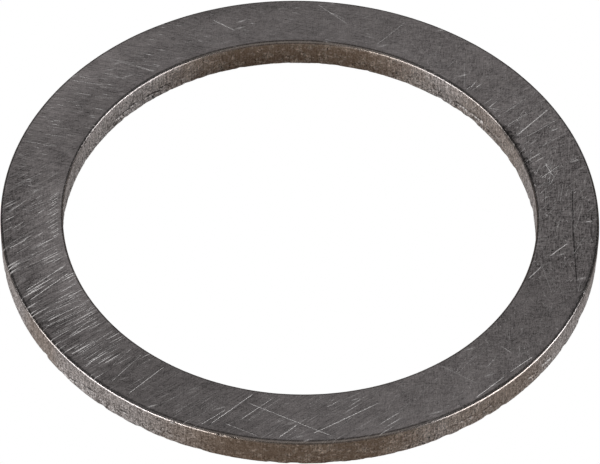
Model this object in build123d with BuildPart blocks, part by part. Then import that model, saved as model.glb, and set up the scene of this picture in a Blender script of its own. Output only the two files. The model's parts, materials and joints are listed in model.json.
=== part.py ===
"""A flat steel support ring, punched from strip in one stroke.

The ring lies on its lower face. The origin is the centre of that face and +Z is the ring's axis.
Both punched walls have the section that punching leaves. From the upper face down, that is a
rolled edge, a smooth sheared land, and a broken band that leans away from the land.
"""
import os
from math import radians, tan

from build123d import *

os.makedirs("parts", exist_ok=True)

# Sizes in millimetres
bore_diameter = 37.1
ring_width = 4.9
thickness = 2.5
rolled_edge_radius = 0.3
worn_corner_radius = 0.05

# How much of the wall is sheared land, as a share of the thickness
land_share = 0.6

# Lean of the broken band, in degrees from the wall
broken_band_lean = 1.2

bore_radius = bore_diameter / 2
rim_radius = bore_radius + ring_width
broken_band_height = thickness * (1 - land_share)
broken_band_step = broken_band_height * tan(radians(broken_band_lean))

with BuildPart() as washer:
    # The section stands in the XZ plane: X is the radius and Y the height above the lower face
    with BuildSketch(Plane.XZ) as section:
        with BuildLine():
            Polyline(
                (bore_radius + broken_band_step, 0),
                (rim_radius - broken_band_step, 0),
                (rim_radius, broken_band_height),
                (rim_radius, thickness),
                (bore_radius, thickness),
                (bore_radius, broken_band_height),
                close=True,
            )
        make_face()

        # The punch draws both upper edges down into a roll
        fillet(section.vertices().group_by(Axis.Y)[-1], radius=rolled_edge_radius)

        # Tumbling has worn the burr off both lower edges
        fillet(section.vertices().group_by(Axis.Y)[0], radius=worn_corner_radius)
    revolve(axis=Axis.Z)

washer.part.label = "washer"
export_step(washer.part, "parts/washer.step")
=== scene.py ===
"""A punched steel support ring with its worn surface, and the white table that it is shown on.

The ring has one mesh. Its walls are grids that follow the punched section: a rolled edge, a smooth
sheared land, a rough broken band and a worn lower corner. Its two faces are triangulated round the
scratches, so that the scratches are real grooves. All lengths are in metres unless a name or a
comment says otherwise.
"""
import json
from math import atan2, cos, degrees, pi, radians, sin, sqrt, tan

import bmesh
import bpy
import numpy as np
from bpy.props import FloatProperty, FloatVectorProperty, IntProperty, PointerProperty
from mathutils import Matrix, Vector, noise
from mathutils.geometry import delaunay_2d_cdt


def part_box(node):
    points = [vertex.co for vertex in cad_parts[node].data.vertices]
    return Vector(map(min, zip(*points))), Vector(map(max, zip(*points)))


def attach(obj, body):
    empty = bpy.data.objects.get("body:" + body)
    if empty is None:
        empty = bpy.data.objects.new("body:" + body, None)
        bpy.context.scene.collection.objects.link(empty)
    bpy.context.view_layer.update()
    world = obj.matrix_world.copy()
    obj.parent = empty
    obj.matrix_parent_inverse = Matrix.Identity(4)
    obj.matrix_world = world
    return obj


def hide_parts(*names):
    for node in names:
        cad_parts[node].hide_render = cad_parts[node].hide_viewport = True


bl_info = {
    "name": "Punched Support Ring",
    "version": (1, 0, 0),
    "blender": (4, 5, 0),
    "location": "View3D > Sidebar > Support Ring",
    "description": "Makes a punched steel support ring with worn faces, and the stage it lies on",
    "category": "Object",
}

MM = 0.001
NODE = "washer"
BODY = "root"

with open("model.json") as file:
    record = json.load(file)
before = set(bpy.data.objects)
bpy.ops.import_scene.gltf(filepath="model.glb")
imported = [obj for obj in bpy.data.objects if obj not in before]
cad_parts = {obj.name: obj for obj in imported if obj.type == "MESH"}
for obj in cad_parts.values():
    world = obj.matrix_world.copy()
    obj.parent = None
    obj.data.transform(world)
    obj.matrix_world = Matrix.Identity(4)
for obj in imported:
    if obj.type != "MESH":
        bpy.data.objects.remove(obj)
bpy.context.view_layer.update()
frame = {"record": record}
NODE_LOW, NODE_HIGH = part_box(NODE)
MOUNTS = {mount["name"]: mount for mount in frame["record"]["mounts"]}

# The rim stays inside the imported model's box on all four sides
RIM_RADIUS = min(-NODE_LOW.x, NODE_HIGH.x, -NODE_LOW.y, NODE_HIGH.y)
BORE_RADIUS = MOUNTS["bore"]["dims"]["r_mm"] * MM
THICKNESS = NODE_HIGH.z - NODE_LOW.z

# The view: the camera stands in front of the ring, in the plane x = 0, and looks down at it
VIEW_WIDTH = 600
VIEW_HEIGHT = 464
SENSOR_WIDTH_MM = 36
LENS_MM = 272.471
CAMERA_PLACE = Vector((0.0345, -239.3774, 265.3816)) * MM
CAMERA_PITCH = radians(47.941)
CAMERA_ROLL = radians(1.405)
CAMERA_TURN = Matrix.Rotation(pi / 2 - CAMERA_PITCH, 3, "X") @ Matrix.Rotation(CAMERA_ROLL, 3, "Z")
FOCAL_PIXELS = VIEW_WIDTH * LENS_MM / SENSOR_WIDTH_MM

# Single scratches on the upper face: both ends in pixels of the view, and strength
SCRATCHES = {
    "left_edge_top": ((17, 184), (44, 172), 0.5),
    "left_edge_high": ((1.5, 222), (14.5, 216), 0.9),
    "left_edge_middle": ((8, 249), (27, 239), 1.0),
    "left_bore_high": ((29, 207), (46, 201), 0.5),
    "left_bore_low": ((49, 205), (61, 198), 0.7),
    "left_long_upper": ((22, 293), (69, 263), 0.9),
    "left_long_lower": ((26, 303), (73, 270), 1.0),
    "left_low_upper": ((43, 314), (87, 297), 0.6),
    "left_low_lower": ((75, 325), (97, 311), 0.7),
    "left_foot_upper": ((68, 356), (89, 344), 0.9),
    "left_foot_lower": ((83, 369), (98, 356), 0.8),
    "corner_short": ((104, 350), (124, 337), 0.5),
    "corner_long": ((110, 383), (143, 353), 0.5),
    "front_left_long": ((128, 394), (165, 366), 0.8),
    "front_left_twin_short": ((200, 425), (227, 409), 0.7),
    "front_left_twin_long": ((209, 425), (256, 392), 0.9),
    "front_parallel": ((240, 420), (276, 396), 0.6),
    "front_parallel_fine": ((247, 421), (281, 398), 0.4),
    "front_falling_long": ((246, 402), (342, 440), 0.7),
    "front_falling_low": ((224, 423), (271, 441), 0.5),
    "front_rising_short": ((275, 440), (297, 425), 0.9),
    "front_rising_long": ((312, 434), (383, 401), 0.8),
    "front_rising_beside": ((281, 441), (300, 427), 0.4),
    "right_foot_chord_low": ((468, 403.5), (505, 376), 1.0),
    "right_foot_chord_high": ((510, 372), (545, 348.5), 1.0),
    "right_falling_fine": ((438, 364), (480, 385), 0.4),
    "right_rising_low": ((526, 281), (542, 266), 1.0),
    "right_rising_high": ((550, 256), (568, 243), 1.0),
    "right_rim_flat": ((586, 222), (592.5, 221), 1.0),
    "right_hook_falling": ((553, 220), (557, 223), 0.5),
    "right_hook_rising": ((557, 223), (561, 220), 0.4),
    "right_upper_rising": ((556, 216), (580, 196), 0.3),
    "right_middle_rising": ((549, 232), (562, 222), 0.4),
    "right_back_strong": ((515, 137), (551, 107), 1.0),
    "right_back_beside": ((526, 137), (560, 118), 0.6),
    "right_back_fork": ((503, 128), (529, 112), 0.6),
    "right_back_upper": ((506, 112), (528, 97), 0.4),
    "back_right_tick_left": ((471, 87), (477, 80.5), 0.8),
    "back_right_tick_right": ((476.5, 87.5), (482, 83), 0.8),
    "back_right_tick_low": ((466, 90), (471, 86), 0.6),
    "back_right_cross_rising": ((486, 110), (497, 101), 0.8),
    "back_right_cross_flat": ((488, 108), (499, 109.5), 0.7),
    "back_right_cross_short": ((484, 104), (493, 98), 0.6),
    "back_right_arc": ((447, 68), (457, 58), 0.4),
    "right_star_rising": ((541, 178), (560, 165), 0.9),
    "right_star_falling": ((545, 164), (554, 177), 0.8),
    "right_star_steep": ((549, 176), (551, 163), 0.4),
    "back_right_long": ((375, 46), (408, 20), 0.5),
    "back_left_falling": ((213, 20), (236, 31), 0.8),
    "back_left_faint": ((275, 18), (296, 27), 0.3),
    "back_middle_falling": ((317, 4), (349, 25), 0.5),
    "back_middle_short": ((331, 13), (345, 19), 0.5),
}

# Dark scratches in the same form: grime in most, painted shade beside the rolled edge at the right
# foot
GRIME_AND_SHADE_SCRATCHES = {
    "right_arc_top": ((572.5, 188), (573, 232), 1.0),
    "right_arc_foot": ((573, 230), (577, 286), 1.0),
    "right_rim_arc": ((591.5, 213), (592, 246), 0.8),
    # Painted shade: these two widen the dark line beside the rolled edge at the right foot
    "right_foot_shade_low": ((476, 403), (512, 376.5), 0.8),
    "right_foot_shade_high": ((508, 379.5), (540, 354), 0.8),
    "right_back_steep": ((572.5, 158), (572, 180), 0.4),
    "front_left_twin": ((206, 427), (229, 412), 0.6),
    "front_left_twin_long": ((213, 425.5), (250, 399), 0.4),
    "front_falling": ((240, 428), (270, 440), 0.4),
    "left_low": ((52, 318), (80, 303), 0.6),
    "left_foot": ((58, 340), (88, 322), 0.6),
    "left_middle": ((34, 296), (62, 280), 0.5),
    "corner": ((118, 372), (140, 352), 0.5),
}

# How much of its depth a dark scratch keeps, and how much wider it is
DARK_SCRATCH_FILL = 0.1
DARK_SCRATCH_SPREAD = 1.9

# Rakes of nearly parallel scratches: the first one and the last one, each by both ends in pixels
# of the view, how many there are, and their strength
RAKES = {
    "left_bore_rake": (((46, 200), (61, 190)), ((48, 240), (63, 231)), 14, 0.9),
    "left_bore_ticks": (((33, 192), (40, 188)), ((38, 212), (46, 207)), 4, 0.7),
    "left_rim_rake": (((14, 232), (28, 224)), ((16, 262), (34, 251)), 6, 0.5),
    "left_low_rake": (((40, 311), (84, 288)), ((62, 338), (99, 322)), 11, 0.6),
    "left_foot_rake": (((70, 352), (92, 338)), ((84, 366), (110, 349)), 6, 0.6),
    "right_back_rake": (((480, 112), (492, 104)), ((520, 148), (536, 138)), 8, 0.6),
    "right_rake": (((520, 170), (532, 160)), ((545, 215), (556, 205)), 9, 0.5),
}

# Where the upper face was rubbed, brushed, scuffed or worn, where it is darker in soft patches, and
# where the walls are browner: real stains in most patches, and painted shade on the front wall of
# the rim and the back wall of the bore. Each patch has its azimuth and half its span in degrees,
# its radius and half its reach in millimetres, and its strength.
ZONES = {
    "rubbed": {
        "left": (200, 46, 21.0, 9.0, 1.0),
        "left_foot": (222, 24, 20.0, 4.0, 0.5),
        "front": (268, 42, 21.0, 9.0, 0.35),
        "right_back": (28, 22, 21.5, 5.0, 0.5),
    },
    "brushed": {
        "back_left": (145, 48, 21.0, 9.0, 0.9),
        "back": (90, 60, 21.0, 9.0, 0.35),
        "left_rim": (160, 30, 22.5, 2.5, 0.5),
    },
    "scuffed": {
        "right": (8, 44, 21.0, 9.0, 1.0),
        "front_right": (318, 40, 21.0, 9.0, 0.45),
        "back_right": (50, 30, 20.0, 5.0, 0.45),
        "left": (188, 26, 21.0, 6.0, 0.5),
    },
    "worn": {
        "back_left_rim": (143, 26, 23.0, 2.6, 0.9),
        "left_bore": (196, 30, 19.2, 2.6, 0.9),
        "front_right_rim": (303, 30, 23.0, 2.0, 0.4),
    },
    # Soft patches where the faces are darker
    "film": {
        "right_rim": (352, 32, 23.0, 4.5, 1.0),
        "right": (350, 44, 21.0, 9.0, 0.8),
        "front_left": (243, 30, 20.5, 7.0, 0.9),
        "left_rim": (202, 44, 23.2, 3.0, 1.0),
        "front_right_rim": (318, 14, 23.0, 1.6, 0.8),
        "back_rim": (104, 22, 23.3, 1.6, 0.8),
    },
    "browned_and_shaded": {
        # Painted shade: the front wall of the rim and the back wall of the bore are painted darker
        # and browner
        "front_rim_painted_shade": (272, 35, 23.4, 0.6, 1.0),
        "back_bore_painted_shade": (92, 44, 18.6, 0.6, 1.0),
        "left_rim": (213, 8, 23.4, 0.6, 0.4),
        "front_right_rim": (310, 20, 23.4, 0.6, 0.55),
        "right_bore": (34, 22, 18.6, 0.6, 0.35),
    },
}

# How fine scratches lie in three kinds of patch: their directions in degrees, how many degrees
# they stray, and their length in millimetres
FINE = {
    "rubbed": ((40,), 5, 2.6),
    "brushed": ((-12,), 6, 1.5),
    "scuffed": ((53, -50, 80), 12, 1.0),
}

# Torn places on both walls: both ends of the lip in pixels of the view, depth and drop in
# millimetres, and how bright the ledge at their foot is painted, as fresh steel with a painted
# highlight. The shadow just under each lip is painted dark.
TEARS = {
    "rim": {
        "left_nick": ((62, 370.5), (69, 377.5), 0.14, 0.34, 0.2),
        "left_nick_ledge": ((67, 376.5), (78, 383), 0.06, 0.22, 0.9),
        "left_foot": ((88, 388), (97, 393), 0.05, 0.22, 0.5),
        "front_left": ((118, 409), (128, 413), 0.04, 0.20, 0.5),
        "front_right_low": ((459, 422), (475, 414.5), 0.11, 0.28, 1.0),
        "front_right_step": ((481, 413), (493, 403), 0.10, 0.32, 0.9),
        "right_step": ((526, 380), (535, 373), 0.10, 0.28, 0.9),
        "right_hook": ((542, 365), (553, 355), 0.13, 0.32, 1.0),
        "edge_speck_left": ((170, 421), (176, 423.5), 0.03, 0.12, 1.0),
        "edge_speck_middle": ((217, 434), (225, 436.5), 0.04, 0.12, 1.0),
        "edge_speck_right": ((231, 437.5), (237, 439), 0.03, 0.10, 1.0),
    },
    "bore": {
        "back_left_ledge": ((115, 120.5), (132, 106.5), 0.12, 0.28, 0.8),
        "back_left_shelf": ((129, 107), (139, 101.5), 0.07, 0.22, 1.0),
        "back_left_marks": ((145, 97.5), (160, 90), 0.06, 0.24, 0.5),
        "back_left_high": ((159, 88.5), (172, 82.5), 0.06, 0.22, 0.2),
        "back_right_short": ((436, 94.5), (444, 98), 0.10, 0.26, 0.5),
        "back_right_upper": ((453, 100.5), (468, 110), 0.12, 0.28, 0.8),
        "back_right_lower": ((468, 110), (484, 123), 0.12, 0.28, 1.0),
        "right_foot": ((486, 128), (495, 138), 0.04, 0.22, 0.4),
    },
}

# Where the border between a face and its rolled edge is chipped: azimuth and half its span in
# degrees, the length of the longest chips in millimetres, and how dark they are painted, as grime
# in the chips and as painted shade that widens the rolled edge's dark line and dims its highlight
CHIPPED = {
    "rim": ((206, 22, 0.10, 0.3), (240, 14, 0.05, 0.0), (345, 16, 0.08, 0.4)),
    "bore": ((21, 13, 0.17, 0.8), (160, 12, 0.05, 0.2)),
}


def ease(low, high, value):
    """Rises smoothly from 0 at low to 1 at high."""
    share = np.clip((value - low) / (high - low), 0, 1)
    return share * share * (3 - 2 * share)


def azimuths(points):
    """The direction in which each point lies from the axis, in degrees."""
    return np.degrees(np.arctan2(points[:, 1], points[:, 0]))


def distances(points):
    """How far each point is from the axis."""
    return np.hypot(points[:, 0], points[:, 1])


def turn_between(azimuth, middle):
    """The angle between two directions, in degrees."""
    return np.abs((azimuth - middle + 180) % 360 - 180)


def zone(name, points):
    """How strongly each point belongs to the patches of one kind."""
    azimuth, radius = azimuths(points), distances(points) / MM
    total = np.zeros(len(points))
    for middle, span, ring, reach, strength in ZONES[name].values():
        along = ease(1.0, 0.3, turn_between(azimuth, middle) / span)
        share = along * ease(1.0, 0.3, np.abs(radius - ring) / reach)
        total = np.maximum(total, share * strength)
    return total


def camera_ray(pixel):
    """The direction in which the camera sees a pixel."""
    right, up, back = (CAMERA_TURN @ Vector(axis) for axis in ((1, 0, 0), (0, 1, 0), (0, 0, 1)))
    across = (pixel[0] - VIEW_WIDTH / 2) / FOCAL_PIXELS
    down = (pixel[1] - VIEW_HEIGHT / 2) / FOCAL_PIXELS
    return right * across - up * down - back


def on_face(pixel):
    """The point of the upper face that a pixel shows, in plan."""
    ray = camera_ray(pixel)
    point = CAMERA_PLACE + ray * (THICKNESS - CAMERA_PLACE.z) / ray.z
    return np.array((point.x, point.y))


def on_wall(pixel, side):
    """The azimuth in degrees and the height of the point of a wall that a pixel shows."""
    ray = camera_ray(pixel)
    radius = RIM_RADIUS if side == "rim" else BORE_RADIUS
    run = ray.x ** 2 + ray.y ** 2
    nearest = (CAMERA_PLACE.x * ray.x + CAMERA_PLACE.y * ray.y) / run
    beyond = (CAMERA_PLACE.x ** 2 + CAMERA_PLACE.y ** 2 - radius ** 2) / run
    half_chord = sqrt(max(nearest ** 2 - beyond, 0))
    point = CAMERA_PLACE + ray * (-nearest - half_chord if side == "rim" else half_chord - nearest)
    return degrees(atan2(point.y, point.x)) % 360, point.z


def length_property(name, description, default, least=0.0):
    """A length in metres that a user can change."""
    return FloatProperty(
        name=name,
        description=description,
        default=default,
        min=least,
        precision=6,
        unit="LENGTH",
        subtype="DISTANCE",
    )


def share_property(name, description, default, least=0.0, most=1.0):
    """A share or a roughness that a user can change."""
    return FloatProperty(
        name=name,
        description=description,
        default=default,
        min=least,
        max=most,
        subtype="FACTOR",
    )


def color_property(name, description, default):
    """A colour that a user can change."""
    return FloatVectorProperty(
        name=name,
        description=description,
        default=default,
        min=0,
        max=1,
        subtype="COLOR",
    )


def light_property(name, description, default):
    """A brightness that a user can change."""
    return FloatProperty(name=name, description=description, default=default, min=0)


class RingSizes(bpy.types.PropertyGroup):
    """The sizes of the ring"""

    bore_radius: length_property(
        "Bore radius", "Radius of the smooth land of the bore", BORE_RADIUS
    )
    rim_radius: length_property(
        "Rim radius", "Radius of the smooth land of the rim", RIM_RADIUS
    )
    thickness: length_property(
        "Thickness", "Height of the upper face above the lower one", THICKNESS
    )
    rolled_edge_width: length_property(
        "Rolled edge width",
        "How far the rolled edge reaches into the upper face",
        0.3 * MM,
        least=0.05 * MM,
    )
    rolled_edge_depth: length_property(
        "Rolled edge depth",
        "How far the rolled edge reaches down the wall",
        0.3 * MM,
        least=0.05 * MM,
    )
    worn_corner_radius: length_property(
        "Worn corner",
        "Radius of both lower corners, where tumbling has worn off the burr",
        0.05 * MM,
    )
    land_share: share_property(
        "Land share", "How much of the wall is smooth sheared land", 0.6, least=0.2, most=0.9
    )
    broken_band_lean: FloatProperty(
        name="Lean of the broken band",
        description="Angle between the broken band and the land",
        default=radians(1.2),
        unit="ROTATION",
        subtype="ANGLE",
    )
    broken_band_roughness: length_property(
        "Roughness of the broken band",
        "Depth of the pits and lumps that the fracture leaves",
        0.045 * MM,
    )
    scratch_width: length_property(
        "Scratch width", "Width of the strongest scratches on the faces", 0.08 * MM
    )
    scratch_depth: length_property(
        "Scratch depth", "Depth of the strongest scratches on the faces", 0.012 * MM
    )
    fine_scratches: IntProperty(
        name="Fine scratches",
        description="Fine scratches on the upper face. The lower one has a quarter as many",
        default=850,
        min=0,
    )


class RingFinish(bpy.types.PropertyGroup):
    """The colours and the gloss of the steel"""

    face_color: color_property(
        "Face", "Ground and tumbled steel of both faces", (0.350, 0.319, 0.316)
    )
    wall_color: color_property("Walls", "Sheared steel of both walls", (0.605, 0.563, 0.555))
    stain_color: color_property(
        "Stain", "Thin brown film of oil and oxide on the walls", (0.29, 0.215, 0.17)
    )
    # Painted shade: this tint also darkens the front wall of the rim and the back wall of the bore
    brown_and_shade_tint: color_property(
        "Brown tint",
        "Tint of the walls where oil and oxide have browned them",
        (0.90, 0.80, 0.68),
    )
    # Painted highlights: this colour also paints the glints on the walls and the ledges of the
    # tears
    bare_and_highlight_color: color_property(
        "Bare steel", "Fresh steel in scratches, tears and worn corners", (0.97, 0.94, 0.93)
    )
    face_roughness: share_property("Face roughness", "Roughness of both faces", 0.34)
    roll_roughness: share_property(
        "Rolled edge roughness",
        "Roughness of the rolled edges, which rubbing has polished",
        0.25,
    )
    wall_roughness: share_property("Wall roughness", "Roughness of both walls", 0.60)
    bare_roughness: share_property(
        "Bare steel roughness", "Roughness of the torn steel in scratches and tears", 0.7
    )
    wall_film: share_property(
        "Wall film",
        "How much of the walls' light comes from the dull film on them",
        0.4,
        most=0.5,
    )


class StageLook(bpy.types.PropertyGroup):
    """The floor and the lights"""

    floor_color: color_property(
        "Floor", "Colour that the floor lends to the steel", (0.13, 0.105, 0.08)
    )
    floor_roughness: share_property(
        "Floor roughness",
        "Roughness of the floor, which mirrors the soft boxes a little",
        0.15,
    )
    background: light_property(
        "Background",
        "Brightness of the floor and of what is behind it, as the camera sees them",
        1.0,
    )
    fill: light_property("Fill light", "Brightness of the dim room round the ring", 0.075)
    side_light: light_property(
        "Side lights", "Brightness of the soft boxes to the left and to the right", 5.6
    )
    left_lamp: light_property("Left lamp", "Brightness of the lamp above the left box", 40.0)
    right_lamp: light_property("Right lamp", "Brightness of the lamp above the right box", 24.0)
    front_light: light_property(
        "Front light",
        "Brightness of the large dim sheet in front that the rolled edges reflect",
        0.2,
    )
    back_light: light_property(
        "Back light",
        "Brightness of the large sheets behind and below the ring that its faces reflect",
        0.34,
    )


# How finely the walls are divided round the ring and down their section
AROUND = 1200
ROLL_STEPS = 7
LAND_STEPS = 6
BAND_STEPS = 11
CORNER_STEPS = 2

# How finely the faces are divided where they have no scratches
FACE_RINGS = 5
FACE_SPOKES = 240

# A narrow flat strip between each face and its rolled or worn edge keeps the face's shading flat
FLAT_STRIP = 0.02 * MM

# How much the rolled edge swells and shrinks in long waves and in short ones, as a share of it
LONG_SWELL = 0.06
SHORT_SWELL = 0.03

# Height of the waves on the land, and how much they are stretched along the punch's stroke
LAND_WAVES = 0.002 * MM
LAND_STRETCH = 0.12

# How far the border of the fracture strays, how soon it is fully rough below that border, and how
# far the lip of a torn place strays
RAGGED_BORDER = 0.13 * MM
FRACTURE_RUN = 0.16 * MM
RAGGED_LIP = 0.07 * MM

# How deep the lower corner is broken away at the most
BROKEN_CORNER = 0.10 * MM

# How many columns a scratch stays away from a chip, and how far it stays off a face's border
CHIP_GUARD = 3
SCRATCH_MARGIN = 0.02 * MM

# Scratches shorter than this are left out
SHORTEST_SCRATCH = 0.25 * MM

# How soon a groove is fully fresh steel or fully dark, between its border and its bottom
GROOVE_FILL = 2.2

# How far each scratch of a rake strays from its even place, and how far each of its ends may be
# drawn back or drawn out, all as shares
RAKE_STRAY = 0.3
RAKE_TRIM = (-0.15, 0.35)

# How readily a fine scratch takes a kind's direction outside that kind's patches, and how many
# times fewer fine scratches the lower face has
FINE_ELSEWHERE = 0.12
LOWER_FACE_DIVISOR = 4

# Where the random draws start
RAKE_SEED = 5
UPPER_SEED = 21
LOWER_SEED = 34

# Edges of a groove that turn by more than this stay crisp
CRISP_ANGLE = radians(1.5)


class Section:
    """The punched section of a wall, in rows from the upper face down to the lower one.

    Each row has a depth into the steel behind the land and a height above the lower face.
    """

    def __init__(self, sizes):
        thickness = sizes.thickness
        width = sizes.rolled_edge_width
        drop = sizes.rolled_edge_depth
        corner = sizes.worn_corner_radius
        self.band_top = thickness * (1 - sizes.land_share)
        foot = (self.band_top - corner) * tan(sizes.broken_band_lean)
        rows = [("face", width + FLAT_STRIP, thickness)]
        for step in range(ROLL_STEPS + 1):
            turn = pi / 2 * step / ROLL_STEPS
            rows.append(("roll", width * (1 - sin(turn)), thickness - drop * (1 - cos(turn))))
        land = thickness - drop - self.band_top
        for step in range(1, LAND_STEPS + 1):
            rows.append(("land", 0.0, thickness - drop - land * step / LAND_STEPS))
        band = self.band_top - corner
        for step in range(1, BAND_STEPS + 1):
            height = self.band_top - band * step / BAND_STEPS
            rows.append(("band", foot * step / BAND_STEPS, height))
        for step in range(1, CORNER_STEPS + 1):
            turn = pi / 2 * step / CORNER_STEPS
            rows.append(("corner", foot + corner * (1 - cos(turn)), corner * (1 - sin(turn))))
        rows.append(("face", foot + corner + FLAT_STRIP, 0.0))
        self.parts = [part for part, _, _ in rows]
        self.depths = np.array([depth for _, depth, _ in rows])
        self.heights = np.array([height for _, _, height in rows])


def relief(points, size, octaves=1):
    """Smooth noise between about -1 and 1, always the same at a point, with lumps of that size."""
    flat = points.reshape(-1, 3) / size
    if octaves == 1:
        values = [noise.noise(point) for point in flat]
    else:
        values = [noise.fractal(point, 1.0, 2.0, octaves) for point in flat]
    return np.array(values).reshape(points.shape[:-1])


def torn_places(side, height, spokes):
    """The torn places of a wall: each point's depth, painted shadow, and fresh steel with painted
    highlight.
    """
    azimuth = azimuths(spokes) % 360
    ragged = RAGGED_LIP * relief(spokes, 0.25 * MM, 2)
    patchy = ease(-0.35, 0.25, relief(spokes + 0.003, 0.2 * MM, 2))
    deep, grime_and_shade, bare_and_highlight = (np.zeros_like(height) for _ in range(3))
    for first, last, depth, drop, shine in TEARS[side].values():
        (start, top), (end, foot) = sorted(on_wall(pixel, side) for pixel in (first, last))
        share = (azimuth - start) / (end - start)
        below = (top + (foot - top) * share + ragged - height) / (drop * MM)
        faded = ease(0.0, 0.15, share) * ease(1.0, 0.85, share)
        deep = np.maximum(deep, depth * MM * faded * ease(-0.1, 0.3, below) * ease(1.1, 0.5, below))
        # Painted shadow: the recess just under the lip is painted dark
        grime_and_shade = np.maximum(grime_and_shade, faded * ease(-0.4, 0.05, below) * ease(0.8, 0.5, below))
        # Painted highlight: the ledge below it is painted as fresh steel, where it would catch the
        # light
        ledge = faded * patchy * ease(0.55, 0.7, below) * ease(1.2, 0.9, below)
        bare_and_highlight = np.maximum(bare_and_highlight, 0.6 * shine * ledge)
    return deep, grime_and_shade, bare_and_highlight


def chips(side, spokes):
    """How far the chips at a wall's upper border reach, and their grime and painted shade, for each
    spoke.
    """
    azimuth = azimuths(spokes)
    jagged = ease(-0.1, 0.3, relief(spokes, 0.26 * MM))
    reach, grime_and_shade = (np.zeros(len(spokes)) for _ in range(2))
    for middle, span, length, darkness in CHIPPED[side]:
        share = ease(1.0, 0.7, turn_between(azimuth, middle) / span)
        reach = np.maximum(reach, length * MM * share)
        grime_and_shade = np.maximum(grime_and_shade, darkness * share)
    return reach * (0.2 + 0.8 * jagged), grime_and_shade * (0.6 + 0.4 * jagged)


def wall(sizes, side):
    """The grid of one wall's points, with its steel's state and its painted light and shade at each
    point.
    """
    section = Section(sizes)
    angles = np.arange(AROUND) * 2 * pi / AROUND
    spokes = np.stack([np.cos(angles), np.sin(angles), np.zeros(AROUND)], -1)
    radius, sign = (sizes.rim_radius, -1) if side == "rim" else (sizes.bore_radius, 1)
    depth = np.repeat(section.depths[:, None], AROUND, 1)
    height = np.repeat(section.heights[:, None], AROUND, 1)
    spokes_at_wall = spokes * radius
    true_place = spokes_at_wall[None] + np.array((0, 0, 1.0)) * height[..., None]
    rows = {part: np.array([row == part for row in section.parts]) for part in set(section.parts)}
    roll = rows["roll"]

    # The punch rolls the edge a little more here than there, and the edge's border is chipped
    swell = LONG_SWELL * relief(spokes_at_wall, 3.1 * MM)
    swell = swell + SHORT_SWELL * relief(spokes_at_wall, 0.6 * MM)
    chipped, chip_darkness = chips(side, spokes_at_wall)
    reach = sizes.rolled_edge_width * swell + chipped
    depth[roll] += reach * (depth[roll] / sizes.rolled_edge_width)
    depth[0] += reach
    height[roll] = sizes.thickness - (sizes.thickness - height[roll]) * (1 + swell)

    # The land has shallow waves along the stroke of the punch
    streaks = true_place * np.array((1, 1, LAND_STRETCH))
    land = rows["land"] | rows["band"]
    depth[land] += LAND_WAVES * (1 + relief(streaks[land], 0.5 * MM))

    # The fracture starts along a ragged line and leaves lumps and pits
    start = section.band_top + RAGGED_BORDER * relief(spokes_at_wall, 1.3 * MM, 3)
    torn = ease(0.0, FRACTURE_RUN, start[None] - height)
    torn[rows["face"]] = 0
    pits = np.clip(0.5 + 0.8 * relief(true_place, 0.33 * MM, 3), 0, 1.4)
    # The deepest pits are darker
    grime_and_shade = 0.7 * ease(0.7, 1.2, pits) * torn
    pits *= 0.3 + 0.7 * ease(0.05 * MM, 0.4 * MM, height)
    rough = rows["band"] | rows["corner"]
    depth[rough] += (sizes.broken_band_roughness * torn * pits)[rough]

    # Here and there the lower corner has broken away
    broken = BROKEN_CORNER * np.clip(1.4 * relief(spokes_at_wall + 0.002, 0.9 * MM, 2) - 0.1, 0, 1)
    foot = rough.copy()
    foot[-1] = True
    depth[foot] += (broken * ease(0.4 * MM, 0.0, height))[foot]

    # Torn places with their painted shadow and highlight, and the grime and painted shade in the
    # chips
    deep, darkness, bare_and_highlight = torn_places(side, height, spokes_at_wall)
    inside = ~rows["face"]
    depth[inside] += deep[inside]
    grime_and_shade = np.maximum(grime_and_shade, darkness)
    grime_and_shade[roll] = np.maximum(grime_and_shade[roll], chip_darkness)

    # The corner's last row stays outside the lower face's border
    depth[-2] = np.minimum(depth[-2], depth[-1] - FLAT_STRIP)

    out = spokes[None] * (radius + sign * depth)[..., None]
    out[..., 2] = height

    # What the material needs to know about each point
    rolled = np.zeros_like(depth)
    rolled[roll] = np.sin(np.linspace(0, pi, ROLL_STEPS + 1))[:, None] ** 0.5
    walled = np.ones_like(depth)
    walled[rows["face"]] = 0
    walled[roll] = np.linspace(0, 1, ROLL_STEPS + 1)[:, None]
    # Painted glints: bright specks of fresh steel in the fracture stand for facets that catch the
    # light
    glint = ease(0.15, 0.5, relief(true_place + 0.01, 0.21 * MM, 2)) * torn
    glint[rows["band"]] *= 0.5
    bare_and_highlight = np.maximum(0.6 * glint * (1 - grime_and_shade), bare_and_highlight)
    for state in (grime_and_shade, bare_and_highlight):
        state[rows["face"]] = 0
    states = {"wall": walled, "rolled": rolled, "torn": torn, "bare_and_highlight": bare_and_highlight, "grime_and_shade": grime_and_shade}
    for name in ZONES:
        states[name] = zone(name, out.reshape(-1, 3)).reshape(depth.shape)
    return out, states


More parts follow.
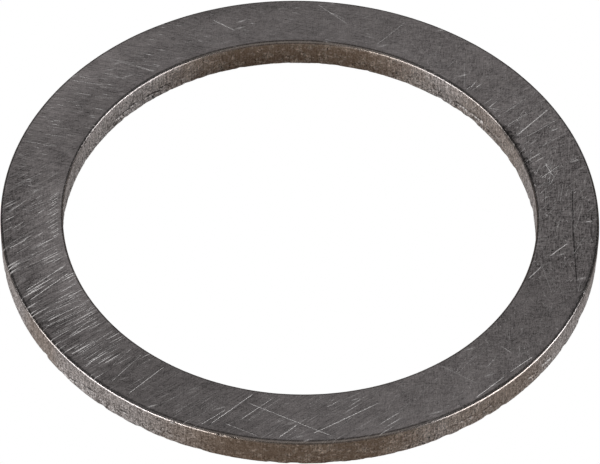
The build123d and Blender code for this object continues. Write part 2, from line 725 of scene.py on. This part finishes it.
class Scratch:
    """A straight groove with a V section and pointed ends, of fresh steel or darkened: grime in
    most, painted shade in a few.
    """

    stations = ((0.0, 0.0), (0.06, 1.0), (0.5, 1.0), (0.92, 0.8), (1.0, 0.0))

    def __init__(self, start, end, half_width, depth, bare_and_highlight, grime_and_shade):
        self.start = np.array(start)
        self.along = np.array(end) - self.start
        self.length = np.hypot(*self.along)
        self.along /= self.length
        self.across = np.array((-self.along[1], self.along[0]))
        self.half_width = half_width
        self.depth = depth
        self.bare_and_highlight = bare_and_highlight
        self.grime_and_shade = grime_and_shade

    def lines(self):
        """Its left border, bottom and right border as chains of points."""
        places = [self.start + self.along * self.length * share for share, _ in self.stations]
        widths = [self.half_width * swell for _, swell in self.stations]
        return [
            [place + self.across * width * side for place, width in zip(places, widths)]
            for side in (-1, 0, 1)
        ]

    def groove(self, points):
        """How deep into the groove each point lies, from 0 at its border to 1 at its bottom."""
        offset = points - self.start
        share = offset @ self.along / self.length
        swell = np.interp(share, *zip(*self.stations), left=0, right=0)
        reach = np.maximum(self.half_width * swell, 1e-9)
        return swell * np.clip(1 - np.abs(offset @ self.across) / reach, 0, 1)


def loop_radius(loop, points):
    """The radius of a closed border in the direction of each point."""
    turns = np.arctan2(loop[:, 1], loop[:, 0])
    wanted = np.arctan2(points[:, 1], points[:, 0])
    return np.interp(wanted, turns, distances(loop), period=2 * pi)


def guarded(loop, farthest):
    """A border that stands as far off its edge as the longest chip beside each of its points."""
    radii = distances(loop)
    steps = range(-CHIP_GUARD, CHIP_GUARD + 1)
    reach = farthest([np.roll(radii, step) for step in steps], axis=0)
    return loop * (reach / radii)[:, None]


def clipped(start, end, loops, margin):
    """The first stretch of a line that lies on the flat of a face, or None."""
    shares = np.linspace(0, 1, 201)[:, None]
    points = np.array(start) * (1 - shares) + np.array(end) * shares
    radii = distances(points)
    outer, inner = (loop_radius(loop, points) for loop in loops)
    on = (radii > inner + margin) & (radii < outer - margin)
    if not on.any():
        return None
    first = int(np.argmax(on))
    last = first
    while last + 1 < len(on) and on[last + 1]:
        last += 1
    return points[first], points[last]


def marked_scratches():
    """The listed scratches: both ends, how much fresh steel they show, and how dark they are."""
    for start, end, strength in SCRATCHES.values():
        yield on_face(start), on_face(end), strength, 0
    for start, end, strength in GRIME_AND_SHADE_SCRATCHES.values():
        yield on_face(start), on_face(end), 0, strength
    rng = np.random.default_rng(RAKE_SEED)
    for first, last, count, strength in RAKES.values():
        a, b = (np.array([on_face(pixel) for pixel in ends]) for ends in (first, last))
        for step in range(count):
            share = (step + rng.uniform(-RAKE_STRAY, RAKE_STRAY)) / max(count - 1, 1)
            start, end = a * (1 - share) + b * share
            run = end - start
            start = start + run * rng.uniform(*RAKE_TRIM)
            end = end - run * rng.uniform(*RAKE_TRIM)
            yield start, end, strength * rng.uniform(0.6, 1.1), 0


def fine_scratches(count, seed, inner, outer):
    """Fine scratches at random all over a face, closer and stronger in its patches."""
    rng = np.random.default_rng(seed)
    radii = np.sqrt(rng.uniform(inner ** 2, outer ** 2, count))
    angles = rng.uniform(0, 2 * pi, count)
    middles = np.column_stack([np.cos(angles), np.sin(angles)]) * radii[:, None]
    weights = np.array([zone(kind, middles) for kind in FINE]).T + FINE_ELSEWHERE
    for middle, weight in zip(middles, weights):
        kind = rng.choice(len(FINE), p=weight / weight.sum())
        directions, spread, length = list(FINE.values())[kind]
        turn = radians(rng.choice(directions) + rng.normal(0, spread))
        half = rng.lognormal(0, 0.5) * length / 2 * MM
        run = np.array((cos(turn), sin(turn))) * half
        strength = rng.uniform(0.05, 0.25) + 0.4 * weight[kind] * rng.random() ** 2
        yield middle - run, middle + run, strength, 0


def turning(plan, triangles):
    """Positive for triangles whose corners run anticlockwise in plan."""
    a, b, c = (plan[triangles[:, corner]] for corner in range(3))
    return (b - a)[:, 0] * (c - a)[:, 1] - (b - a)[:, 1] * (c - a)[:, 0]


def kept_scratches(sizes, loops, marks):
    """The scratches of a face, each cut off at the face's borders."""
    guards = guarded(loops[0], np.min), guarded(loops[1], np.max)
    margin = SCRATCH_MARGIN + sizes.scratch_width / 2
    for start, end, bare_and_highlight, grime_and_shade in marks:
        kept = clipped(start, end, guards, margin)
        if kept is None or np.hypot(*(kept[1] - kept[0])) < SHORTEST_SCRATCH:
            continue

        # A weaker scratch is both narrower and shallower
        strength = max(bare_and_highlight, grime_and_shade)
        share = 0.45 + 0.55 * strength
        depth = sizes.scratch_depth * share * (0.5 + 0.5 * strength)
        half_width = sizes.scratch_width / 2 * share
        if grime_and_shade:
            depth, half_width = DARK_SCRATCH_FILL * depth, DARK_SCRATCH_SPREAD * half_width
        yield Scratch(*kept, half_width, depth, bare_and_highlight, grime_and_shade)


def scratched_face(sizes, loops, marks):
    """Triangulates a face round its scratches.

    The loops are the outer and the inner border. Returns the points in plan, the triangles, how
    deep each point lies, how much fresh steel it shows, how dark it is with grime and painted
    shade, and its place in the loops, or -1.
    """
    scratches = list(kept_scratches(sizes, loops, marks))
    points = [tuple(point) for loop in loops for point in loop]
    edges = [(k, (k + 1) % AROUND) for k in range(AROUND)]
    edges += [(AROUND + a, AROUND + b) for a, b in edges]
    outer, inner = (np.hypot(*loop[0]) for loop in loops)
    for radius in np.linspace(inner, outer, FACE_RINGS + 2)[1:-1]:
        for angle in np.linspace(0, 2 * pi, FACE_SPOKES, endpoint=False):
            points.append((radius * cos(angle), radius * sin(angle)))
    for scratch in scratches:
        for line in scratch.lines():
            first = len(points)
            points += [tuple(point) for point in line]
            edges += [(k, k + 1) for k in range(first, len(points) - 1)]

    # The triangulation works in millimetres, so that its tolerance is far below a scratch's width
    made = delaunay_2d_cdt([Vector(p) / MM for p in points], edges, [], 0, 1e-5, True)
    plan = np.array([tuple(v) for v in made[0]]) * MM
    triangles = np.array(made[2])
    places = np.full(len(plan), -1)
    for index, found in enumerate(made[3]):
        for source in found:
            if source < 2 * AROUND:
                places[index] = source

    # A triangle off the face has all its corners on one border, where they run the wrong way round
    on_loops = places[triangles]
    ordered = np.take_along_axis(triangles, np.argsort(on_loops, 1), 1)
    turn = turning(plan, ordered)
    beyond_rim = ((on_loops >= 0) & (on_loops < AROUND)).all(1) & (turn < 0)
    in_hole = (on_loops >= AROUND).all(1) & (turn > 0)
    triangles = triangles[~(beyond_rim | in_hole)]
    turned = turning(plan, triangles) < 0
    triangles[turned] = triangles[turned][:, ::-1]

    depth, bare_and_highlight, grime_and_shade = (np.zeros(len(plan)) for _ in range(3))
    for scratch in scratches:
        share = scratch.groove(plan)
        depth = np.maximum(depth, share * scratch.depth)
        filled = np.clip(GROOVE_FILL * share, 0, 1)
        bare_and_highlight = np.maximum(bare_and_highlight, filled * scratch.bare_and_highlight)
        grime_and_shade = np.maximum(grime_and_shade, filled * scratch.grime_and_shade)
    return plan, triangles, depth, bare_and_highlight, grime_and_shade, places


def ring_mesh(sizes):
    """The whole ring as one closed mesh, with its steel's state and painted light at each point as
    attributes.
    """
    grids = [wall(sizes, side) for side in ("rim", "bore")]
    rows = grids[0][0].shape[0]
    points = [grid.reshape(-1, 3) for grid, _ in grids]
    states = {name: [state[name].reshape(-1) for _, state in grids] for name in grids[0][1]}
    wall_size = rows * AROUND
    quads = []
    for side in (0, 1):
        index = np.arange(wall_size).reshape(rows, AROUND) + side * wall_size
        ahead = np.roll(index, -1, 1)
        corners = [index[:-1], index[1:], ahead[1:], ahead[:-1]]
        if side:
            corners.reverse()
        quads.append(np.stack([c.reshape(-1) for c in corners], -1))

    triangles = []
    total = 2 * wall_size
    for upper in (True, False):
        row = 0 if upper else rows - 1
        loops = [grid[row][:, :2] for grid, _ in grids]
        inner, outer = (np.hypot(*loop[0]) for loop in reversed(loops))
        if upper:
            marks = [*marked_scratches()]
            marks += fine_scratches(sizes.fine_scratches, UPPER_SEED, inner, outer)
        else:
            count = sizes.fine_scratches // LOWER_FACE_DIVISOR
            marks = fine_scratches(count, LOWER_SEED, inner, outer)
        plan, faces, depth, bare_and_highlight, grime_and_shade, places = scratched_face(sizes, loops, marks)
        side, column = np.divmod(places, AROUND)
        target = side * wall_size + row * AROUND + column
        free = np.flatnonzero(places < 0)
        target[free] = total + np.arange(len(free))
        total += len(free)
        height = sizes.thickness - depth if upper else depth
        points.append(np.column_stack([plan, height])[free])
        states["bare_and_highlight"].append(bare_and_highlight[free])
        states["grime_and_shade"].append(grime_and_shade[free])
        for name in ("wall", "rolled", "torn"):
            states[name].append(np.zeros(len(free)))
        for name in ZONES:
            states[name].append(zone(name, plan[free]))
        faces = target[faces]
        triangles.append(faces if upper else faces[:, ::-1])

    mesh = bpy.data.meshes.new("support_ring")
    all_faces = [tuple(f) for group in quads + triangles for f in group.tolist()]
    mesh.from_pydata(np.concatenate(points).tolist(), [], all_faces)
    for name, values in states.items():
        layer = mesh.attributes.new(name, "FLOAT", "POINT")
        layer.data.foreach_set("value", np.concatenate(values).astype(np.float32))
    soften(mesh)
    return mesh


def soften(mesh):
    """Shades the walls smoothly and keeps the borders of the grooves crisp."""
    work = bmesh.new()
    work.from_mesh(mesh)
    for face in work.faces:
        face.smooth = True
    for edge in work.edges:
        if not edge.is_manifold:
            raise RuntimeError(f"the ring is open at {tuple(edge.verts[0].co)}")
        on_face_only = all(len(face.verts) == 3 for face in edge.link_faces)
        edge.smooth = not (on_face_only and edge.calc_face_angle(0) > CRISP_ANGLE)
    work.to_mesh(mesh)
    work.free()


class Value:
    """An output of a node that can stand in a Python expression as a number does."""

    def __init__(self, nodes, socket):
        self.nodes = nodes
        self.socket = socket

    def math(self, operation, first, second):
        """One step of arithmetic on two values, which may be numbers."""
        return self.nodes.add("ShaderNodeMath", {"operation": operation}, {0: first, 1: second})

    def __add__(self, other):
        return self.math("ADD", self, other)

    def __radd__(self, other):
        return self.math("ADD", other, self)

    def __sub__(self, other):
        return self.math("SUBTRACT", self, other)

    def __rsub__(self, other):
        return self.math("SUBTRACT", other, self)

    def __mul__(self, other):
        return self.math("MULTIPLY", self, other)

    def __rmul__(self, other):
        return self.math("MULTIPLY", other, self)


class Nodes:
    """The node tree of a material or of the world."""

    def __init__(self, tree):
        self.tree = tree
        self.tree.nodes.clear()

    def add(self, kind, settings=None, inputs=None, output=0):
        """Adds a node, sets it up, feeds its sockets and returns one of its outputs."""
        node = self.tree.nodes.new(kind)
        for name, setting in (settings or {}).items():
            setattr(node, name, setting)
        for name, value in (inputs or {}).items():
            if isinstance(value, Value):
                self.tree.links.new(value.socket, node.inputs[name])
            else:
                node.inputs[name].default_value = value
        return Value(self, node.outputs[output]) if node.outputs else None

    def attribute(self, name):
        """A value for the steel and its painted light and shade that the mesh holds at each point.
        """
        return self.add("ShaderNodeAttribute", {"attribute_name": name}, output="Fac")

    def place(self):
        """Where the shaded point is, in metres."""
        return self.add("ShaderNodeTexCoord", output="Object")

    def mapped(self, size, turn, offset):
        """Where the shaded point is, turned and counted in cells, whose size is in millimetres."""
        settings = {"vector_type": "TEXTURE"}
        inputs = {
            "Vector": self.place(),
            "Location": (offset, offset, offset),
            "Rotation": (0, 0, radians(turn)),
            "Scale": tuple(length * MM for length in size),
        }
        return self.add("ShaderNodeMapping", settings, inputs)

    def grain(self, size, turn=0.0, detail=2.0, roughness=0.5, offset=0.0):
        """Noise between 0 and 1 with lumps of the given length, width and height in millimetres."""
        mapped = self.mapped(size, turn, offset)
        return self.add(
            "ShaderNodeTexNoise",
            {"noise_dimensions": "3D"},
            {"Vector": mapped, "Scale": 1.0, "Detail": detail, "Roughness": roughness},
            output="Fac",
        )

    def rise(self, low, high, value):
        """Rises smoothly from 0 where the value is low to 1 where it is high."""
        return self.add(
            "ShaderNodeMapRange",
            {"interpolation_type": "SMOOTHSTEP", "clamp": True},
            {"Value": value, "From Min": low, "From Max": high, "To Min": 0.0, "To Max": 1.0},
        )

    def dashes(self, length, width, turn, offset):
        """Straight dashes with pointed ends on the faces, each with its own strength.

        Each has a cell of the given length and width, in millimetres, to itself.
        """
        mapped = self.mapped((length, width, 1), turn, offset)
        apart = self.add(
            "ShaderNodeTexVoronoi",
            {"voronoi_dimensions": "2D", "feature": "F1"},
            {"Vector": mapped, "Scale": 1.0, "Randomness": 1.0},
            output="Distance",
        )
        color = Value(self, apart.socket.node.outputs["Color"])
        strength = self.add("ShaderNodeSeparateColor", None, {"Color": color}, output="Red")
        return (1 - self.rise(0.0, DASH_REACH, apart)) * strength * strength

    def all_dashes(self, kinds, zones):
        """All the kinds of dashes in a table, added up."""
        total = 0.0
        for name, elsewhere, more, length, width, turn, offset in kinds:
            strength = elsewhere + more * zones[name]
            total = total + strength * self.dashes(length, width, turn, offset)
        return total

    def mix(self, share, first, second):
        """Mixes two numbers."""
        return self.add("ShaderNodeMix", {"data_type": "FLOAT"}, {0: share, 2: first, 3: second})

    def mix_color(self, share, first, second, blend="MIX"):
        """Mixes two colours."""
        settings = {"data_type": "RGBA", "blend_type": blend}
        return self.add("ShaderNodeMix", settings, {0: share, 6: first, 7: second}, output=2)

    def grey(self, value):
        """A number as a grey colour."""
        return self.add("ShaderNodeCombineColor", None, {0: value, 1: value, 2: value})


def opaque(color):
    """A colour property as four numbers."""
    return (*color, 1.0)


# Dashes on the faces. Each kind has the kind of patch that it is strongest in, its strength
# elsewhere and what the patch adds to it, the length and width of its cells in millimetres, its
# direction in degrees, and an offset that sets it apart from the other kinds.
DARK_DASHES = (
    ("rubbed", 0.1, 1.0, 10.0, 0.24, 41, 0.0),
    ("rubbed", 0.1, 1.0, 6.0, 0.20, 36, 0.001),
    ("brushed", 0.2, 0.8, 3.4, 0.28, -14, 0.002),
    ("scuffed", 0.2, 0.9, 1.1, 0.20, 66, 0.003),
    ("scuffed", 0.2, 0.6, 1.1, 0.22, 98, 0.011),
)
LIGHT_DASHES = (
    ("rubbed", 0.054, 0.9, 13.0, 0.34, 40, 0.004),
    ("rubbed", 0.04, 0.8, 9.0, 0.28, 37, 0.0),
    ("rubbed", 0.0, 0.6, 6.0, 0.22, 43, 0.005),
    ("brushed", 0.08, 0.5, 3.2, 0.24, -11, 0.006),
    ("scuffed", 0.05, 0.4, 1.6, 0.20, 56, 0.007),
    ("scuffed", 0.03, 0.35, 1.5, 0.20, -48, 0.008),
    ("worn", 0.2, 0.0, 5.0, 0.9, 22, 0.010),
)

# How far a dash reaches from the middle of its cell, as a share of the cell
DASH_REACH = 0.14

# Height of the relief that is too fine for the mesh
FINE_RELIEF = 0.006 * MM


def steel(finish):
    """Punched steel: dark scratched faces, browner streaked walls, and bare metal where worn."""
    material = bpy.data.materials.new("punched_steel")
    material.use_nodes = True
    nodes = Nodes(material.node_tree)
    on_wall, on_roll, torn, bare_and_highlight, grime_and_shade = (
        nodes.attribute(name) for name in ("wall", "rolled", "torn", "bare_and_highlight", "grime_and_shade")
    )
    zones = {name: nodes.attribute(name) for name in ZONES}
    rubbed, brushed, scuffed, worn, film, browned_and_shaded = zones.values()

    # Faces: cloudy grey steel
    clouds = nodes.grain((1.9, 1.9, 1.9), detail=3)
    mottle = nodes.grain((0.10, 0.10, 0.12), detail=2, roughness=0.6)
    tone = 1 + 0.6 * (clouds - 0.5) + 1.4 * (mottle - 0.5) + 0.26 * worn - 0.20 * film

    # Rubbing marks in the directions that the steel was moved in
    rub = nodes.grain((1.3, 0.07, 1), turn=40, detail=1)
    brush = nodes.grain((0.7, 0.07, 1), turn=-12, detail=1, offset=0.004)
    scuff = nodes.grain((0.3, 0.06, 1), turn=57, detail=2, offset=0.005)
    weave = nodes.grain((0.06, 0.5, 1), detail=1, offset=0.013)
    weft = nodes.grain((0.5, 0.07, 1), turn=4, detail=1, offset=0.014)
    tone = tone + (0.4 + 1.2 * rubbed) * (rub - 0.5) + (0.5 + brushed) * (brush - 0.5)
    tone = tone + (0.4 + 0.8 * scuffed) * (scuff - 0.5)
    tone = tone + (0.5 + 1.2 * scuffed) * (weave - 0.5) + (0.5 + 0.8 * scuffed) * (weft - 0.5)

    # Dark dashes, and the dark scratches: grime in most, painted shade beside the rolled edge in a
    # few
    tone = tone - 1.05 * nodes.all_dashes(DARK_DASHES, zones)
    tone = tone * (1 - 0.9 * grime_and_shade)
    face_color = nodes.mix_color(1.0, opaque(finish.face_color), nodes.grey(tone), "MULTIPLY")

    # Light dashes, dotted by the steel's own grain and stronger in some places
    here = nodes.rise(0.40, 0.60, nodes.grain((1.5, 1.5, 1.5), detail=1, offset=0.009))
    speckle = nodes.rise(0.38, 0.56, mottle)
    light = nodes.all_dashes(LIGHT_DASHES, zones)
    light = light * (0.3 + 0.7 * here) * (0.5 + speckle) * (1 - on_wall)

    # Walls: streaks along the punch's stroke under a patchy brown film
    streaks = nodes.grain((0.11, 0.11, 1.3), detail=3, roughness=0.6)
    patches = nodes.grain((0.55, 0.55, 0.45), detail=4, roughness=0.65)
    specks = nodes.grain((0.13, 0.13, 0.16), detail=2, roughness=0.6)
    blots = nodes.grain((0.26, 0.26, 0.32), detail=3, roughness=0.65, offset=0.012)
    blots = nodes.rise(0.50, 0.66, blots)
    wall_tone = 1.1 + 2.2 * (streaks - 0.5) + 4.2 * (specks - 0.5) + 1.2 * (mottle - 0.5)
    wall_tone = wall_tone - (0.2 + 0.35 * torn) * blots
    wall_tone = 1 + (wall_tone - 1) * (1 - 0.7 * on_roll) + 0.1 * on_roll
    # Darker with grime and painted shade: the painted shadow under the tears' lips, the chips and
    # the deepest pits
    wall_tone = wall_tone * (1 - 0.92 * grime_and_shade)
    wall_color = nodes.mix_color(1.0, opaque(finish.wall_color), nodes.grey(wall_tone), "MULTIPLY")
    # The stain is stronger on the browner walls, partly as painted shade on the front and back
    # walls
    stain_and_shade = nodes.rise(0.40, 0.62, patches + 0.12 * film + 0.08 * browned_and_shaded)
    stain_and_shade = (0.18 + 0.55 * browned_and_shaded) * stain_and_shade * (1 - on_roll)
    wall_color = nodes.mix_color(stain_and_shade, wall_color, opaque(finish.stain_color))
    # Painted shade on the front wall of the rim and the back wall of the bore; real stains
    # elsewhere
    wall_color = nodes.mix_color(browned_and_shaded, wall_color, opaque(finish.brown_and_shade_tint), "MULTIPLY")
    # Painted glints on the walls, fewer on the browner walls
    glints = nodes.rise(0.64, 0.76, specks) * (1 - 0.7 * browned_and_shaded)

    color = nodes.mix_color(on_wall, face_color, wall_color)

    # Fresh steel in the scratches and tears, with painted highlights on the tears' ledges, light
    # dashes on the faces and painted glints on the walls
    fresh = nodes.mix(on_wall, 0.75 + 0.5 * speckle, 1 - 0.8 * browned_and_shaded)
    bare_and_highlight = nodes.rise(0.0, 0.65, bare_and_highlight) * fresh
    bright = bare_and_highlight + 3.0 * light + 0.5 * glints * on_wall * (1 - on_roll)
    bright = nodes.add("ShaderNodeClamp", None, {"Value": bright})
    color = nodes.mix_color(bright, color, opaque(finish.bare_and_highlight_color))
    roughness = nodes.mix(on_wall, finish.face_roughness, finish.wall_roughness)
    roughness = nodes.mix(on_roll, roughness, finish.roll_roughness)
    roughness = roughness + 0.10 * (mottle - 0.5) + 0.06 * torn
    roughness = nodes.mix(bright, roughness, finish.bare_roughness)

    # Torn steel and the film on the walls scatter light more than they mirror it
    metallic = 1 - 0.9 * bright - finish.wall_film * on_wall * (1 - on_roll)
    metallic = nodes.add("ShaderNodeClamp", None, {"Value": metallic})

    # Relief too fine for the mesh
    face_relief = 0.5 * mottle + 0.4 * rub - 1.5 * light
    wall_relief = (1.4 * streaks + 2.0 * specks) * (1 - 0.8 * on_roll)
    height = nodes.mix(on_wall, face_relief, wall_relief)
    normal = nodes.add("ShaderNodeBump", None, {"Distance": FINE_RELIEF, "Height": height})
    shader = nodes.add(
        "ShaderNodeBsdfPrincipled",
        None,
        {"Base Color": color, "Metallic": metallic, "Roughness": roughness, "Normal": normal},
    )
    nodes.add("ShaderNodeOutputMaterial", None, {"Surface": shader})
    return material


def add_object(name, data):
    """Puts an object into the scene."""
    thing = bpy.data.objects.new(name, data)
    bpy.context.scene.collection.objects.link(thing)
    return thing


class SUPPORTRING_OT_make_ring(bpy.types.Operator):
    """Make the punched ring with its scratches, broken bands and steel"""

    bl_idname = "support_ring.make_ring"
    bl_label = "Make Ring"

    def execute(self, context):
        ring = add_object("support_ring", ring_mesh(context.scene.ring_sizes))
        ring.data.materials.append(steel(context.scene.ring_finish))
        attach(ring, BODY)
        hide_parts(NODE)
        return {"FINISHED"}


# The lights: azimuth and elevation from the ring in degrees, width and height, which brightness of
# the stage they have, and whether the steel mirrors them
LIGHTS = {
    "left_box": (209, 3.5, 2.3, 0.27, "side_light", True),
    "right_box": (-14, 3.5, 1.6, 0.27, "side_light", True),
    "left_lamp": (194, 29, 0.3, 0.3, "left_lamp", False),
    "right_lamp": (-12, 29, 0.3, 0.3, "right_lamp", False),
    "front_sheet": (270, 48, 2.0, 1.4, "front_light", True),
    "back_sheet": (92, 47, 1.9, 0.8, "back_light", True),
    "under_sheet": (270, -60, 2.5, 2.5, "back_light", True),
}
LIGHT_DISTANCE = 1.5

# Half the floor's width, how many cells its grid has each way, and how far it lies below the ring,
# so that the two don't share a plane
FLOOR_REACH = 6.0
FLOOR_CELLS = 8
FLOOR_GAP = 0.01 * MM

# The floor's index of refraction, which sets how strongly it mirrors the lights
FLOOR_IOR = 1.9

WHITE = (1, 1, 1, 1)


def soft_box(name, azimuth, elevation, width, height, brightness, mirrored):
    """A rectangular light that faces the ring, as bright as a mirror would show it."""
    lamp = bpy.data.lights.new(name, "AREA")
    lamp.shape = "RECTANGLE"
    lamp.size = width
    lamp.size_y = height
    lamp.energy = brightness * pi * width * height
    box = add_object(name, lamp)
    turn, rise = radians(azimuth), radians(elevation)
    away = Vector((cos(turn) * cos(rise), sin(turn) * cos(rise), sin(rise)))
    box.location = away * LIGHT_DISTANCE
    box.rotation_euler = away.to_track_quat("Z", "Y").to_euler()
    box.visible_camera = False
    box.visible_glossy = mirrored


class SUPPORTRING_OT_make_stage(bpy.types.Operator):
    """Make the floor, the soft lights and the camera"""

    bl_idname = "support_ring.make_stage"
    bl_label = "Make Stage"

    def execute(self, context):
        look = context.scene.stage_look
        self.make_floor(look)
        self.make_room(context, look)
        for name, (azimuth, elevation, width, height, source, mirrored) in LIGHTS.items():
            brightness = getattr(look, source)
            soft_box(name, azimuth, elevation, width, height, brightness, mirrored)
        self.make_camera(context)
        return {"FINISHED"}

    def make_floor(self, look):
        """A pale floor that the camera sees evenly white, as in a cut-out picture."""
        mesh = bpy.data.meshes.new("floor")
        work = bmesh.new()
        cells = {"x_segments": FLOOR_CELLS, "y_segments": FLOOR_CELLS}
        bmesh.ops.create_grid(work, size=FLOOR_REACH, **cells)
        work.to_mesh(mesh)
        work.free()
        floor = add_object("floor", mesh)
        floor.location.z = -FLOOR_GAP
        material = bpy.data.materials.new("pale_floor")
        material.use_nodes = True
        nodes = Nodes(material.node_tree)
        color, roughness = opaque(look.floor_color), look.floor_roughness
        inputs = {"Base Color": color, "Roughness": roughness, "IOR": FLOOR_IOR}
        pale = nodes.add("ShaderNodeBsdfPrincipled", None, inputs)
        white = nodes.add("ShaderNodeEmission", None, {"Strength": look.background})
        seen = nodes.add("ShaderNodeLightPath", output="Is Camera Ray")
        shader = nodes.add("ShaderNodeMixShader", None, {0: seen, 1: pale, 2: white})

        # It lets light and sight through from below, also where the ring's lower face touches it
        clear = nodes.add("ShaderNodeBsdfTransparent")
        behind = nodes.add("ShaderNodeNewGeometry", output="Backfacing")
        apart = nodes.add("ShaderNodeLightPath", output="Ray Length")
        touching = behind.math("LESS_THAN", apart, 5 * FLOOR_GAP)
        through = behind.math("MAXIMUM", behind, touching)
        shader = nodes.add("ShaderNodeMixShader", None, {0: through, 1: shader, 2: clear})
        nodes.add("ShaderNodeOutputMaterial", None, {"Surface": shader})
        mesh.materials.append(material)

    def make_room(self, context, look):
        """A dim grey room that the camera sees as white as the floor."""
        world = bpy.data.worlds.new("room")
        context.scene.world = world
        world.use_nodes = True
        nodes = Nodes(world.node_tree)
        dim, white = (
            nodes.add("ShaderNodeBackground", None, {"Color": WHITE, "Strength": strength})
            for strength in (look.fill, look.background)
        )
        seen = nodes.add("ShaderNodeLightPath", output="Is Camera Ray")
        shader = nodes.add("ShaderNodeMixShader", None, {0: seen, 1: dim, 2: white})
        nodes.add("ShaderNodeOutputWorld", None, {"Surface": shader})

    def make_camera(self, context):
        """A camera with a long lens, which looks down at the ring from the front."""
        lens = bpy.data.cameras.new("camera")
        lens.sensor_width = SENSOR_WIDTH_MM
        lens.lens = LENS_MM
        lens.clip_start = 0.01
        lens.clip_end = 20
        camera = add_object("camera", lens)
        camera.matrix_world = Matrix.Translation(CAMERA_PLACE) @ CAMERA_TURN.to_4x4()
        context.scene.camera = camera
        context.scene.view_settings.view_transform = "Standard"


class SUPPORTRING_PT_sidebar(bpy.types.Panel):
    """Lists the sizes, the finish, the stage and their operators"""

    bl_idname = "SUPPORTRING_PT_sidebar"
    bl_label = "Support Ring"
    bl_space_type = "VIEW_3D"
    bl_region_type = "UI"
    bl_category = "Support Ring"

    def draw(self, context):
        scene = context.scene
        for group in (scene.ring_sizes, scene.ring_finish, scene.stage_look):
            box = self.layout.box()
            for name in group.__annotations__:
                box.prop(group, name)
        self.layout.operator(SUPPORTRING_OT_make_ring.bl_idname)
        self.layout.operator(SUPPORTRING_OT_make_stage.bl_idname)


CLASSES = (
    RingSizes,
    RingFinish,
    StageLook,
    SUPPORTRING_OT_make_ring,
    SUPPORTRING_OT_make_stage,
    SUPPORTRING_PT_sidebar,
)


def register():
    """Makes the classes and the scene's settings known to Blender."""
    for cls in CLASSES:
        bpy.utils.register_class(cls)
    bpy.types.Scene.ring_sizes = PointerProperty(type=RingSizes)
    bpy.types.Scene.ring_finish = PointerProperty(type=RingFinish)
    bpy.types.Scene.stage_look = PointerProperty(type=StageLook)


def unregister():
    """Takes back what register did."""
    del bpy.types.Scene.stage_look
    del bpy.types.Scene.ring_finish
    del bpy.types.Scene.ring_sizes
    for cls in reversed(CLASSES):
        bpy.utils.unregister_class(cls)


def main():
    """Makes the ring and its stage."""
    register()
    bpy.ops.support_ring.make_ring()
    bpy.ops.support_ring.make_stage()
    bpy.context.view_layer.update()


if __name__ == "__main__":
    main()
